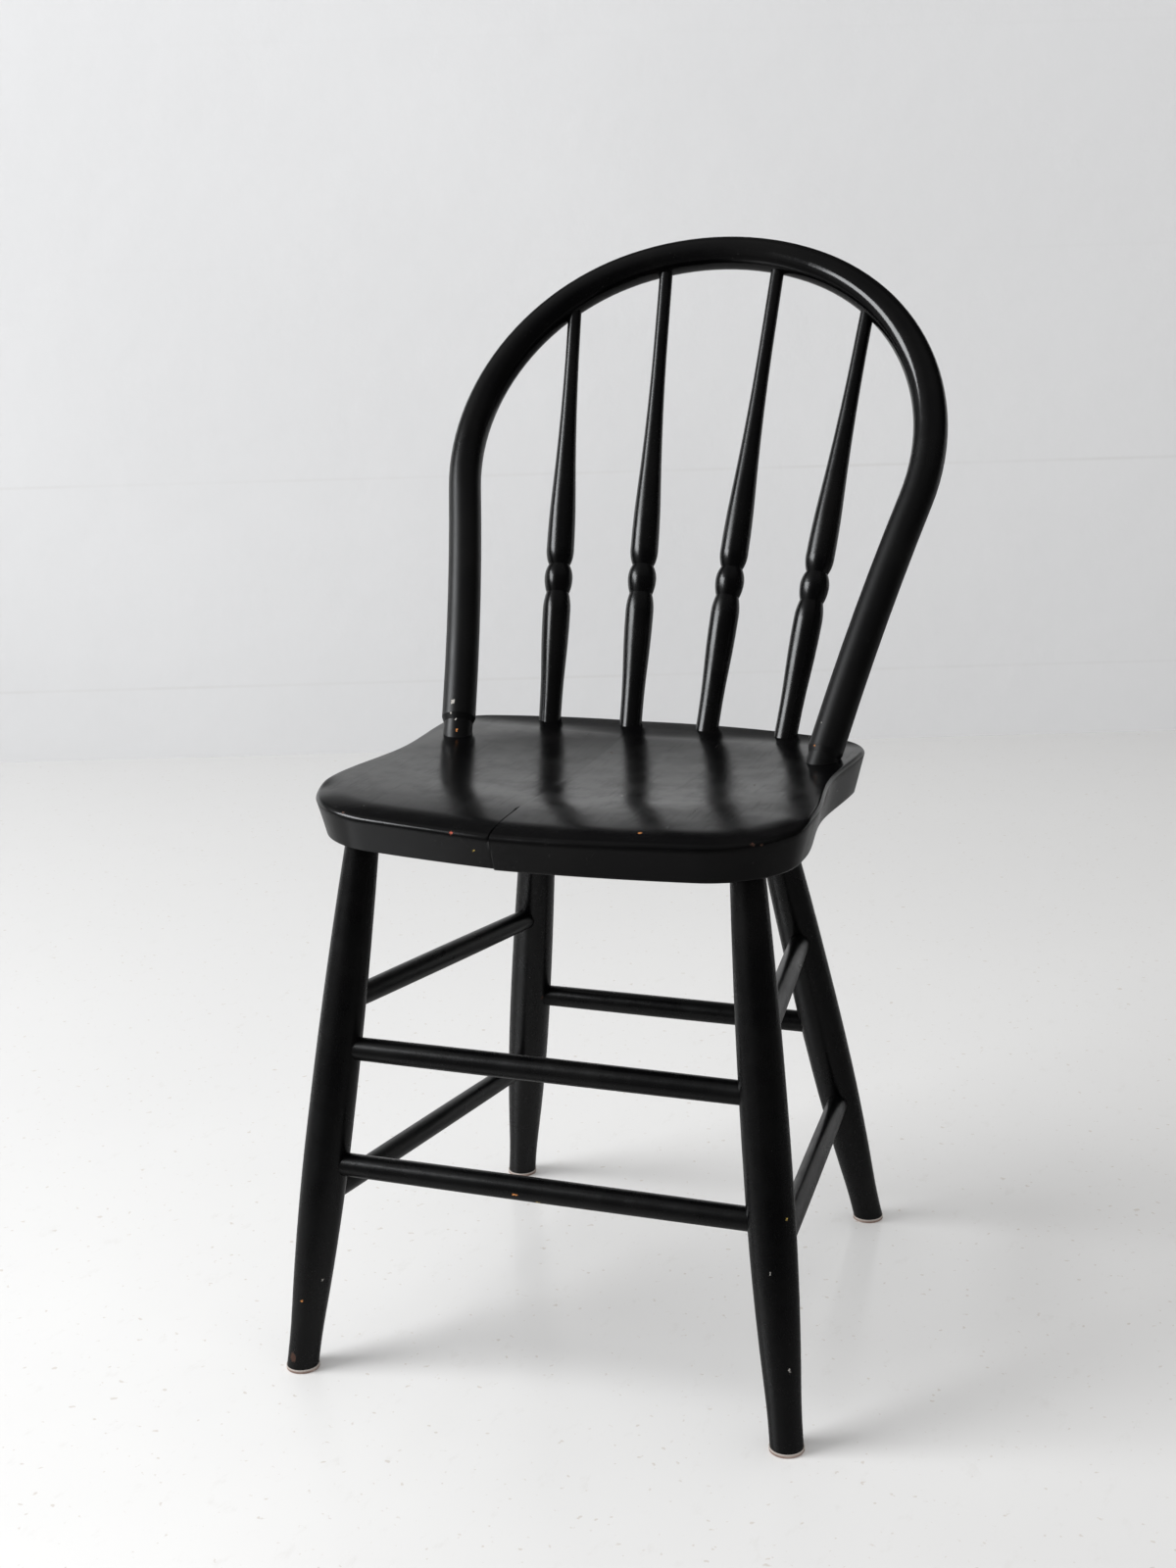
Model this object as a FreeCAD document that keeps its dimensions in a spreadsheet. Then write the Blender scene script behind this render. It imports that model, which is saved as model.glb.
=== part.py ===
import FreeCAD, Part
import math
import os
import re
import Sketcher

Vector = FreeCAD.Vector

# A windsor side chair, in millimetres. X runs to the right as seen from the front, Y to the back and Z up.
# Places along Y are measured from the line midway between the front and the rear feet.
SIZES = {
    # Seat plank: outline of its top edge, seen from above
    "rim_height": 446.0,
    "seat_thickness": 35.0,
    "seat_offset": -4.0,
    "seat_front": 176.6,
    "seat_back": 170.0,
    "front_half_width": 192.5,
    "ear_half_width": 183.3,
    "waist_half_width": 179.5,
    "waist_place": 24.0,
    "side_place": -85.0,
    "front_sweep": 1000.0,
    "front_corner": 75.0,
    "back_sweep": 500.0,
    "back_corner": 45.0,
    "undercut": 7.5,
    "top_edge_round": 3.0,
    "bottom_edge_round": 2.0,
    # Glue joint: the left board has lifted along its outer edge, and is a little thinner below
    "board_joint": -27.0,
    "left_board_lift_angle": 1.7,
    "left_board_step": 1.6,
    # Seat top: the front rolls down, and a shallow dish is scooped across the middle
    "roll_place": -92.0,
    "roll_fall": 5.0,
    "roll_run_out": 6.0,
    "dish_back": 124.0,
    "dish_low_place": 45.0,
    "dish_depth": 10.0,
    "dish_turn_place": -85.0,
    "dish_front": -128.0,
    "dish_front_depth": 0.6,
    "dish_sweep": 1380.0,
    # Legs: the axis of each runs from the floor to the underside of the seat
    "foot_place": 193.0,
    "front_foot_half_span": 195.5,
    "rear_foot_half_span": 165.5,
    "front_head_half_span": 151.0,
    "front_head_place": -129.0,
    "rear_head_half_span": 97.5,
    "rear_head_place": 103.5,
    "leg_foot_radius": 12.3,
    "leg_foot_height": 10.0,
    "leg_ankle_height": 46.0,
    "leg_belly_radius": 17.7,
    "leg_belly_height": 188.0,
    "leg_head_radius": 12.8,
    "leg_socket_depth": 20.0,
    # Pads stuck under the feet
    "pad_thickness": 3.0,
    "pad_radius": 12.9,
    "pad_round": 0.6,
    # Stretchers: heights are taken on the leg axes
    "front_lower_height": 164.5,
    "front_upper_height": 255.0,
    "back_height": 194.5,
    "side_lower_front_height": 136.7,
    "side_lower_rear_height": 121.3,
    "side_upper_front_height": 289.5,
    "side_upper_rear_height": 274.5,
    "cross_radius": 9.3,
    "cross_end_radius": 9.0,
    "side_radius": 8.9,
    "side_end_radius": 8.6,
    "stretcher_end_length": 27.0,
    "stretcher_reach": 3.0,
    # Spindles: heights are taken along the axis from the top of the seat
    "inner_foot_half_span": 34.0,
    "inner_foot_place": 153.5,
    "inner_top_half_span": 51.2,
    "inner_top_offset": -2.6,
    "outer_foot_half_span": 104.4,
    "outer_foot_place": 145.0,
    "outer_top_half_span": 133.5,
    "outer_top_offset": 0.8,
    "spindle_foot_radius": 9.5,
    "spindle_foot_height": 10.0,
    "spindle_calf_height": 52.0,
    "spindle_lower_swell": 12.0,
    "spindle_lower_swell_height": 99.0,
    "spindle_lower_cove": 9.8,
    "spindle_lower_cove_height": 114.5,
    "spindle_bead": 12.2,
    "spindle_bead_height": 128.0,
    "spindle_upper_cove": 9.1,
    "spindle_upper_cove_height": 139.5,
    "spindle_upper_swell": 12.0,
    "spindle_upper_swell_height": 153.0,
    "spindle_turn_height": 205.0,
    "spindle_slim_radius": 5.9,
    "spindle_slim_height": 355.0,
    "spindle_top_radius": 5.7,
    "spindle_socket_depth": 18.0,
    # Bow: a bent round rod, taken along its centreline from the foot on the seat to the crown
    "bow_radius": 14.1,
    "bow_offset": -2.0,
    "bow_skew_angle": 0.45,
    "bow_foot_half_span": 156.4,
    "bow_foot_place": 70.3,
    "bow_lean_angle": 34.4,
    "bow_foot_splay_angle": 8.7,
    "bow_foot_length": 25.4,
    "bow_side_radius": 2838.0,
    "bow_side_splay_angle": 12.9,
    "bow_shoulder_radius": 190.0,
    "bow_crown_start_angle": 69.3,
    "bow_left_neck_length": 11.0,
    "bow_right_neck_length": 3.0,
    "bow_neck_step": 1.8,
    "bow_neck_taper": 5.0,
    "bow_tenon_radius": 12.2,
    "bow_socket_depth": 22.0,
    # Fits
    "glue_gap": 0.1,
    "socket_end_gap": 0.5,
    "tool_overrun": 12.0,
    "saw_block": 40.0,
}

NOTHING = 1e-9
NEARLY_LEVEL = 0.7
SAME_PLACE = 0.5

document = FreeCAD.newDocument("windsor_chair")
sheet = document.addObject("Spreadsheet::Sheet", "Sizes")
cells = {}


def set_size(name, number):
    row = str(len(cells) + 1)
    sheet.set("A" + row, name)
    sheet.set("B" + row, repr(float(number)))
    sheet.setAlias("B" + row, name)
    cells[name] = float(number)


for size_name, size_value in SIZES.items():
    set_size(size_name, size_value)
document.recompute()


def size(name):
    return cells[name]


def bind(formula):
    """The formula with each size name turned into a reference to its cell."""

    def reference(found):
        word = found.group(0)
        return "Sizes." + word if word in cells else word

    return re.sub(r"[a-z][a-z_]+", reference, formula)


def value(formula):
    return float(sheet.evalExpression(bind(formula)))


# Sketch outlines


def arc_centre(start, finish, run):
    """Centre of an arc between two corners, from the rule that the run gives."""
    if run in ("leaves upright", "meets upright", "leaves level", "meets level"):
        fixed, other = (start, finish) if run.startswith("leaves") else (finish, start)
        across = other - fixed
        reach = across.Length ** 2 / 2
        if run.endswith("upright"):
            return Vector(fixed.x + reach / across.x, fixed.y, 0)
        return Vector(fixed.x, fixed.y + reach / across.y, 0)
    radius = value(run[1])
    half = (finish - start) * 0.5
    left = Vector(-half.y, half.x, 0).normalize()
    offset = math.sqrt(radius ** 2 - half.Length ** 2)
    side = 1 if run[0] == "bends left" else -1
    return start + half + left * offset * side


def add_run(sketch, start, finish, run):
    """Adds one line or arc and returns its number and the vertex numbers of its two ends."""
    if run == "line":
        return sketch.addGeometry(Part.LineSegment(start, finish), False), 1, 2
    centre = arc_centre(start, finish, run)
    from_centre = start - centre
    to_centre = finish - centre
    circle = Part.Circle(centre, Vector(0, 0, 1), from_centre.Length)
    first = math.atan2(from_centre.y, from_centre.x)
    last = math.atan2(to_centre.y, to_centre.x)
    if from_centre.cross(to_centre).z > 0:
        return sketch.addGeometry(Part.ArcOfCircle(circle, first, last), False), 1, 2
    return sketch.addGeometry(Part.ArcOfCircle(circle, last, first), False), 2, 1


def hold_corner(sketch, number, vertex, corner):
    """Ties one corner to its formulas for the two directions of the sketch."""
    for kind, formula, axis in (("DistanceX", corner[0], -2), ("DistanceY", corner[1], -1)):
        distance = value(formula)
        if abs(distance) < NOTHING:
            sketch.addConstraint(Sketcher.Constraint("PointOnObject", number, vertex, axis))
            continue
        held = sketch.addConstraint(Sketcher.Constraint(kind, -1, 1, number, vertex, distance))
        sketch.setExpression("Constraints[%d]" % held, bind(formula))


def draw(sketch, corners, runs):
    """Draws a chain of runs through the corners. It is closed when there are as many runs as corners."""
    points = [Vector(value(across), value(up), 0) for across, up in corners]
    pieces = []
    for index, run in enumerate(runs):
        finish = points[(index + 1) % len(points)]
        pieces.append(add_run(sketch, points[index], finish, run))
    for index, (number, first, last) in enumerate(pieces):
        run = runs[index]
        hold_corner(sketch, number, first, corners[index])
        following = pieces[(index + 1) % len(pieces)]
        if index + 1 < len(corners):
            if index + 1 < len(pieces):
                join = Sketcher.Constraint("Coincident", number, last, following[0], following[1])
                sketch.addConstraint(join)
            else:
                hold_corner(sketch, number, last, corners[index + 1])
        else:
            sketch.addConstraint(Sketcher.Constraint("Coincident", number, last, following[0], following[1]))
        if run == "line":
            continue
        if run[0] in ("bends left", "bends right"):
            held = sketch.addConstraint(Sketcher.Constraint("Radius", number, value(run[1])))
            sketch.setExpression("Constraints[%d]" % held, bind(run[1]))
            continue
        vertex = first if run.startswith("leaves") else last
        kind = "Horizontal" if run.endswith("upright") else "Vertical"
        sketch.addConstraint(Sketcher.Constraint(kind, number, 3, number, vertex))


# Document objects


def new_body(name):
    return document.addObject("PartDesign::Body", name)


def new_sketch(body, name, role, height=None):
    sketch = body.newObject("Sketcher::SketchObject", name)
    plane = next(item for item in body.Origin.OriginFeatures if item.Role == role)
    sketch.AttachmentSupport = [(plane, "")]
    sketch.MapMode = "FlatFace"
    if height is not None:
        sketch.setExpression("AttachmentOffset.Base.z", bind(height))
    return sketch


def turned(name, corners, runs):
    """A turned piece: its half profile, radius across and height up, revolved about its own Z axis."""
    body = new_body(name)
    profile = new_sketch(body, name + "_profile", "XZ_Plane")
    draw(profile, corners, runs)
    turning = body.newObject("PartDesign::Revolution", name + "_turning")
    turning.Profile = profile
    turning.ReferenceAxis = (profile, ["V_Axis"])
    turning.Angle = 360
    return body


def stand(item, start, direction):
    """Puts an object with its own origin at start and its own Z axis along direction."""
    item.Placement = FreeCAD.Placement(start, FreeCAD.Rotation(Vector(0, 0, 1), direction))


def drill(name, start, direction, radius, depth):
    """A round cutter for a socket, which reaches from start along direction."""
    cutter = document.addObject("Part::Cylinder", name)
    cutter.setExpression("Radius", bind(radius + " + glue_gap"))
    cutter.Height = depth
    stand(cutter, start, direction)
    return cutter


def cut(name, base, cutters):
    """The finished piece: base with every cutter taken out of it."""
    tools = document.addObject("Part::Compound", name + "_sockets")
    tools.Links = cutters
    piece = document.addObject("Part::Cut", name + "_piece")
    piece.Base = base
    piece.Tool = tools
    piece.Label = name
    return piece


def edge_names(shape, wanted):
    """Names of the edges for which wanted is true."""
    return ["Edge%d" % (index + 1) for index, edge in enumerate(shape.Edges) if wanted(edge)]


# Bow centreline, in the plane of the bow: across from the middle, and up from the line of its feet


def bow_heading(angle):
    return Vector(math.sin(angle), math.cos(angle), 0)


def bow_inward(angle):
    return Vector(-math.cos(angle), math.sin(angle), 0)


foot_splay = math.radians(size("bow_foot_splay_angle"))
bow_skew = math.radians(size("bow_skew_angle"))
side_splay = math.radians(size("bow_side_splay_angle"))
crown_start = -math.radians(size("bow_crown_start_angle"))
bow_lean = math.radians(size("bow_lean_angle"))

bow_foot = Vector(size("bow_foot_half_span"), 0, 0)
bow_straight_end = bow_foot + bow_heading(foot_splay) * size("bow_foot_length")
bow_side_centre = bow_straight_end - bow_inward(foot_splay) * size("bow_side_radius")
bow_side_end = bow_side_centre + bow_inward(side_splay) * size("bow_side_radius")
bow_shoulder_centre = bow_side_end + bow_inward(side_splay) * size("bow_shoulder_radius")
bow_crown_corner = bow_shoulder_centre - bow_inward(crown_start) * size("bow_shoulder_radius")
bow_crown_radius = bow_crown_corner.x / math.cos(crown_start)
bow_crown_centre = bow_crown_corner + bow_inward(crown_start) * bow_crown_radius

BOW_CORNERS = {
    "bow_right_neck": bow_foot + bow_heading(foot_splay) * size("bow_right_neck_length"),
    "bow_left_neck": bow_foot + bow_heading(foot_splay) * size("bow_left_neck_length"),
    "bow_straight_end": bow_straight_end,
    "bow_side_end": bow_side_end,
    "bow_crown_corner": bow_crown_corner,
}
for corner_name, corner_point in BOW_CORNERS.items():
    set_size(corner_name + "_across", corner_point.x)
    set_size(corner_name + "_up", corner_point.y)
set_size("bow_crown_radius", bow_crown_radius)


def bow_height_at(across):
    """Height in the plane of the bow of its centreline, at a distance from the middle."""
    if abs(across) <= bow_crown_corner.x:
        return bow_crown_centre.y + math.sqrt(bow_crown_radius ** 2 - across ** 2)
    from_centre = abs(across) - bow_shoulder_centre.x
    return bow_shoulder_centre.y + math.sqrt(size("bow_shoulder_radius") ** 2 - from_centre ** 2)


# Places in the chair


def leg_heads_and_feet(end, side):
    """Foot and head of a leg's axis, measured from the middle of the feet."""
    if end == "front":
        foot = Vector(side * size("front_foot_half_span"), -size("foot_place"), 0)
        across, along = size("front_head_half_span"), size("front_head_place")
    else:
        foot = Vector(side * size("rear_foot_half_span"), size("foot_place"), 0)
        across, along = size("rear_head_half_span"), size("rear_head_place")
    return foot, Vector(side * across, along, size("rim_height") - size("seat_thickness"))


def on_leg(end, side, height):
    """Point on a leg's axis at a height above the floor."""
    foot, head = leg_heads_and_feet(end, side)
    return foot + (head - foot) * (height / head.z)


# The bow stands skewed in its own plane, up on its left foot, because the left board has lifted
bow_rise = size("bow_foot_half_span") * math.sin(bow_skew)
bow_crown_up = bow_rise + bow_crown_centre.y * math.cos(bow_skew) + bow_crown_radius

# The origin lies on the floor, under the middle of the space the chair fills
front_limit = on_leg("front", 1, size("pad_thickness")).y - size("pad_radius")
back_limit = size("bow_foot_place") + bow_crown_up * math.sin(bow_lean) + size("bow_radius")
bow_middle = size("bow_offset") + bow_shoulder_centre.y * math.sin(bow_skew)
middle = Vector(bow_middle, (front_limit + back_limit) / 2, 0)

bow_plane = FreeCAD.Rotation(Vector(1, 0, 0), 90 - size("bow_lean_angle"))
bow_turn = bow_plane.multiply(FreeCAD.Rotation(Vector(0, 0, 1), -size("bow_skew_angle")))
bow_origin = Vector(size("bow_offset"), size("bow_foot_place"), size("rim_height")) - middle
bow_origin += bow_plane.multVec(Vector(0, bow_rise, 0))
bow_stance = FreeCAD.Placement(bow_origin, bow_turn)


def spindle_ends(kind, side):
    """Foot of a spindle on the seat, and its top on the centreline of the bow."""
    foot = Vector(side * size(kind + "_foot_half_span"), size(kind + "_foot_place"), size("rim_height"))
    across = side * size(kind + "_top_half_span") + size(kind + "_top_offset")
    return foot - middle, bow_stance.multVec(Vector(across, bow_height_at(across), 0))


SIDES = {"left": -1, "right": 1}
pieces = {}

# Seat: its outline is drawn once for the top edge and once, drawn in by the undercut, for the bottom


def tangent_corner(half_width, corner, sweep, edge, towards):
    """Where a corner arc starts on the side and where it runs into the long arc of the front or back."""
    centre = f"({towards}*({edge} - ({sweep})))"
    drop = f"sqrt((({sweep}) - ({corner}))^2 - (({half_width}) - ({corner}))^2)"
    side_up = f"({centre} + {towards}*{drop})"
    ratio = f"(({sweep})/(({sweep}) - ({corner})))"
    join = (f"(({half_width}) - ({corner}))*{ratio}", f"{centre} + ({side_up} - {centre})*{ratio}")
    return (half_width, side_up), join


def mirrored(corner):
    return ("-(" + corner[0] + ")", corner[1])


def draw_seat_outline(sketch, inset):
    front_half = "front_half_width - " + inset
    ear_half = "ear_half_width - " + inset
    waist_half = "waist_half_width - " + inset
    front_sweep = "front_sweep - " + inset
    back_sweep = "back_sweep - " + inset
    front_side, front_join = tangent_corner(
        front_half, "front_corner - " + inset, front_sweep, "(seat_front - " + inset + ")", "-1"
    )
    ear_side, back_join = tangent_corner(
        ear_half, "back_corner - " + inset, back_sweep, "(seat_back - " + inset + ")", "1"
    )
    side_end = (front_half, "side_place")
    before_waist = (f"(front_half_width + waist_half_width)/2 - {inset}", "(side_place + waist_place)/2")
    waist = (waist_half, "waist_place")
    after_waist = (f"(ear_half_width + waist_half_width)/2 - {inset}", f"({ear_side[1]} + waist_place)/2")
    right = [front_join, front_side, side_end, before_waist, waist, after_waist, ear_side, back_join]
    left = [mirrored(corner) for corner in reversed(right)]
    right_runs = [
        "meets upright",
        "line",
        "leaves upright",
        "meets upright",
        "leaves upright",
        "meets upright",
        "leaves upright",
    ]
    swap = {"leaves upright": "meets upright", "meets upright": "leaves upright", "line": "line"}
    left_runs = [swap[run] for run in reversed(right_runs)]
    runs = right_runs + [("bends left", back_sweep)] + left_runs + [("bends left", front_sweep)]
    draw(sketch, right + left, runs)


seat = new_body("seat_plank")
bottom_outline = new_sketch(seat, "seat_bottom_outline", "XY_Plane", "-seat_thickness")
draw_seat_outline(bottom_outline, "undercut")
top_outline = new_sketch(seat, "seat_top_outline", "XY_Plane")
draw_seat_outline(top_outline, "0")
plank = seat.newObject("PartDesign::AdditiveLoft", "seat_plank_loft")
plank.Profile = bottom_outline
plank.Sections = [top_outline]
plank.Ruled = True

roll_profile = new_sketch(seat, "seat_roll_profile", "YZ_Plane")
roll_corners = [
    ("roll_place", "0"),
    ("-seat_front - roll_run_out", "-roll_fall"),
    ("-seat_front - roll_run_out", "tool_overrun"),
    ("roll_place", "tool_overrun"),
]
draw(roll_profile, roll_corners, ["leaves level", "line", "line", "line"])
roll = seat.newObject("PartDesign::Pocket", "seat_front_roll")
roll.Profile = roll_profile
roll.SideType = "Symmetric"
roll.setExpression("Length", bind("2*front_half_width + 2*tool_overrun"))
seat.Placement.Base = Vector(size("seat_offset"), 0, size("rim_height")) - middle
document.recompute()
plank_volume = plank.Shape.Volume
roll_volume = roll.Shape.Volume


def rim_edges(shape, above):
    """Edges where the sides of the plank meet its top, or its bottom."""
    half = -size("seat_thickness") / 2
    chosen = set()
    for face in shape.Faces:
        parameters = face.ParameterRange
        normal = face.normalAt((parameters[0] + parameters[1]) / 2, (parameters[2] + parameters[3]) / 2)
        if abs(normal.z) > NEARLY_LEVEL:
            continue
        for edge in face.Edges:
            box = edge.BoundBox
            if (above and box.ZMin > half) or (not above and box.ZMax < half):
                chosen.add(edge.hashCode())
    return edge_names(shape, lambda edge: edge.hashCode() in chosen)


top_round = seat.newObject("PartDesign::Fillet", "seat_top_round")
top_round.Base = (roll, rim_edges(roll.Shape, True))
top_round.setExpression("Radius", bind("top_edge_round"))
document.recompute()
bottom_round = seat.newObject("PartDesign::Fillet", "seat_bottom_round")
bottom_round.Base = (top_round, rim_edges(top_round.Shape, False))
bottom_round.setExpression("Radius", bind("bottom_edge_round"))

dish_profile = new_sketch(seat, "seat_dish_profile", "YZ_Plane")
dish_share = "((dish_low_place - dish_turn_place)/(dish_low_place - dish_front))"
dish_turn_depth = f"-dish_depth + (dish_depth - dish_front_depth)*{dish_share}"
dish_corners = [
    ("dish_back", "0"),
    ("dish_low_place", "-dish_depth"),
    ("dish_turn_place", dish_turn_depth),
    ("dish_front", "-dish_front_depth"),
    ("dish_front", "tool_overrun"),
    ("dish_back", "tool_overrun"),
]
draw(dish_profile, dish_corners, ["meets level", "leaves level", "meets level", "line", "line", "line"])
dish_axis_start = Vector(size("dish_front"), size("dish_sweep"), 0)
dish_axis_end = Vector(size("dish_back"), size("dish_sweep"), 0)
dish_axis = dish_profile.addGeometry(Part.LineSegment(dish_axis_start, dish_axis_end), True)
dish_profile.addConstraint(Sketcher.Constraint("Horizontal", dish_axis))
for vertex, place in ((1, "dish_front"), (2, "dish_back")):
    held = dish_profile.addConstraint(
        Sketcher.Constraint("DistanceX", -1, 1, dish_axis, vertex, value(place))
    )
    dish_profile.setExpression("Constraints[%d]" % held, bind(place))
held = dish_profile.addConstraint(
    Sketcher.Constraint("DistanceY", -1, 1, dish_axis, 1, value("dish_sweep"))
)
dish_profile.setExpression("Constraints[%d]" % held, bind("dish_sweep"))
dish = seat.newObject("PartDesign::Groove", "seat_dish")
dish.Profile = dish_profile
dish.ReferenceAxis = (dish_profile, ["Axis0"])
dish.Midplane = True
dish_reach = size("front_half_width") + size("saw_block")
dish.Angle = 2 * math.degrees(math.atan(dish_reach / size("dish_sweep")))
document.recompute()
if not bottom_round.Shape.Volume > dish.Shape.Volume or not plank_volume > roll_volume:
    raise RuntimeError("the roll or the dish took nothing off the seat")

# Legs: a slim foot swells to a belly and draws in again to the tenon in the seat


def leg_wood(end, side_name):
    side = SIDES[side_name]
    name = f"leg_{end}_{side_name}"
    foot, head = leg_heads_and_feet(end, side)
    direction = (head - foot).normalize()
    swell = "(leg_belly_radius - leg_foot_radius)"
    share = "((leg_ankle_height - leg_foot_height)/(leg_belly_height - leg_foot_height))"
    head_height = f"{end}_leg_head_height"
    corners = [
        ("0", "-tool_overrun"),
        ("leg_foot_radius", "-tool_overrun"),
        ("leg_foot_radius", "leg_foot_height"),
        (f"leg_foot_radius + {swell}*{share}", "leg_ankle_height"),
        ("leg_belly_radius", "leg_belly_height"),
        ("leg_head_radius", head_height),
        ("leg_head_radius", head_height + " + leg_socket_depth"),
        ("0", head_height + " + leg_socket_depth"),
    ]
    runs = ["line", "line", "leaves upright", "meets upright", "leaves upright", "line", "line", "line"]
    wood = turned(name + "_wood", corners, runs)
    stand(wood, foot - middle, direction)
    return name, wood, head - middle, direction


for end in ("front", "rear"):
    axis_foot, axis_head = leg_heads_and_feet(end, 1)
    set_size(f"{end}_leg_head_height", (axis_head - axis_foot).Length)
document.recompute()

floor_block = document.addObject("Part::Box", "floor_block")
floor_reach = 2 * size("foot_place")
floor_block.Length = 2 * floor_reach
floor_block.Width = 2 * floor_reach
floor_block.setExpression("Height", bind("pad_thickness + saw_block"))
floor_block.Placement.Base = Vector(-floor_reach, -floor_reach, -size("saw_block")) - middle

seat_cutters = []
leg_cutters = {}
leg_woods = {}
for end in ("front", "rear"):
    for side_name in SIDES:
        leg_name, leg_body, leg_head, leg_direction = leg_wood(end, side_name)
        leg_woods[leg_name] = leg_body
        leg_cutters[leg_name] = [floor_block]
        seat_cutters.append(
            drill(
                leg_name + "_socket",
                leg_head - leg_direction * size("tool_overrun"),
                leg_direction,
                "leg_head_radius",
                size("tool_overrun") + size("leg_socket_depth") + size("socket_end_gap"),
            )
        )

# Stretchers: plain turned rods, fullest at the middle, each end let into a leg


def stretcher(name, ends, kind):
    """A rod between two legs. Each end is a leg's name, its axis point and the leg's name again."""
    (first_leg, first), (last_leg, last) = ends
    direction = (last - first).normalize()
    reach = size("stretcher_reach")
    set_size(name + "_length", (last - first).Length + 2 * reach)
    document.recompute()
    start = first - direction * reach
    length = name + "_length"
    corners = [
        ("0", "0"),
        (kind + "_end_radius", "0"),
        (kind + "_end_radius", "stretcher_end_length"),
        (kind + "_radius", length + "/2"),
        (kind + "_end_radius", length + " - stretcher_end_length"),
        (kind + "_end_radius", length),
        ("0", length),
    ]
    runs = ["line", "line", "meets upright", "leaves upright", "line", "line", "line"]
    wood = turned(name, corners, runs)
    stand(wood, start - middle, direction)
    pieces[name] = wood
    depth = reach + size("socket_end_gap") + size("leg_belly_radius") + size("tool_overrun")
    for leg, point, inward in ((first_leg, first, direction), (last_leg, last, -direction)):
        mouth = point - inward * (reach + size("socket_end_gap")) - middle
        leg_cutters[leg].append(drill(f"{name}_in_{leg}", mouth, inward, kind + "_end_radius", depth))


def cross_stretcher(name, end, height):
    ends = [(f"leg_{end}_{side_name}", on_leg(end, side, size(height))) for side_name, side in SIDES.items()]
    stretcher(name, ends, "cross")


cross_stretcher("stretcher_front_lower", "front", "front_lower_height")
cross_stretcher("stretcher_front_upper", "front", "front_upper_height")
cross_stretcher("stretcher_back", "rear", "back_height")
for side_name, side in SIDES.items():
    for tier in ("lower", "upper"):
        ends = [
            (f"leg_{end}_{side_name}", on_leg(end, side, size(f"side_{tier}_{end}_height")))
            for end in ("front", "rear")
        ]
        stretcher(f"stretcher_{side_name}_{tier}", ends, "side")

for leg_name, leg_body in leg_woods.items():
    pieces[leg_name] = cut(leg_name, leg_body, leg_cutters[leg_name])

# Pads: thin round discs under the feet, with the lower edge eased
for end in ("front", "rear"):
    for side_name, side in SIDES.items():
        pad_name = f"foot_pad_{end}_{side_name}"
        pad_corners = [
            ("0", "0"),
            ("pad_radius - pad_round", "0"),
            ("pad_radius", "pad_round"),
            ("pad_radius", "pad_thickness"),
            ("0", "pad_thickness"),
        ]
        pad = turned(pad_name, pad_corners, ["line", "meets upright", "line", "line", "line"])
        under_foot = on_leg(end, side, size("pad_thickness"))
        under_foot.z = 0
        stand(pad, under_foot - middle, Vector(0, 0, 1))
        pieces[pad_name] = pad

# Spindles: a bead between two coves above a swelling foot, then a long taper up to the bow


def spindle(kind, side_name):
    name = f"spindle_{kind}_{side_name}"
    foot, top = spindle_ends(kind, SIDES[side_name])
    direction = (top - foot).normalize()
    length = name + "_length"
    calf_share = (
        "((spindle_calf_height - spindle_foot_height)/(spindle_lower_swell_height - spindle_foot_height))"
    )
    taper_share = (
        "((spindle_turn_height - spindle_upper_swell_height)"
        "/(spindle_slim_height - spindle_upper_swell_height))"
    )
    calf = f"spindle_foot_radius + (spindle_lower_swell - spindle_foot_radius)*{calf_share}"
    taper = f"spindle_upper_swell - (spindle_upper_swell - spindle_slim_radius)*{taper_share}"
    corners = [
        ("0", "-spindle_socket_depth"),
        ("spindle_foot_radius", "-spindle_socket_depth"),
        ("spindle_foot_radius", "spindle_foot_height"),
        (calf, "spindle_calf_height"),
        ("spindle_lower_swell", "spindle_lower_swell_height"),
        ("spindle_lower_cove", "spindle_lower_cove_height"),
        ("spindle_bead", "spindle_bead_height"),
        ("spindle_upper_cove", "spindle_upper_cove_height"),
        ("spindle_upper_swell", "spindle_upper_swell_height"),
        (taper, "spindle_turn_height"),
        ("spindle_slim_radius", "spindle_slim_height"),
        ("spindle_top_radius", length),
        ("0", length),
    ]
    runs = [
        "line",
        "line",
        "leaves upright",
        "meets upright",
        "leaves upright",
        "meets upright",
        "leaves upright",
        "meets upright",
        "leaves upright",
        "meets upright",
        "line",
        "line",
        "line",
    ]
    wood = turned(name, corners, runs)
    stand(wood, foot, direction)
    pieces[name] = wood
    seat_cutters.append(
        drill(
            name + "_in_seat",
            foot - direction * (size("spindle_socket_depth") + size("socket_end_gap")),
            direction,
            "spindle_foot_radius",
            size("spindle_socket_depth") + size("socket_end_gap") + size("tool_overrun"),
        )
    )
    return drill(
        name + "_in_bow",
        top + direction * size("socket_end_gap"),
        -direction,
        "spindle_slim_radius",
        size("bow_radius") + size("tool_overrun"),
    )


for kind in ("inner", "outer"):
    for side_name, side in SIDES.items():
        spindle_foot, spindle_top = spindle_ends(kind, side)
        set_size(f"spindle_{kind}_{side_name}_length", (spindle_top - spindle_foot).Length)
document.recompute()
bow_cutters = [spindle(kind, side_name) for kind in ("outer", "inner") for side_name in SIDES]

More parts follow.
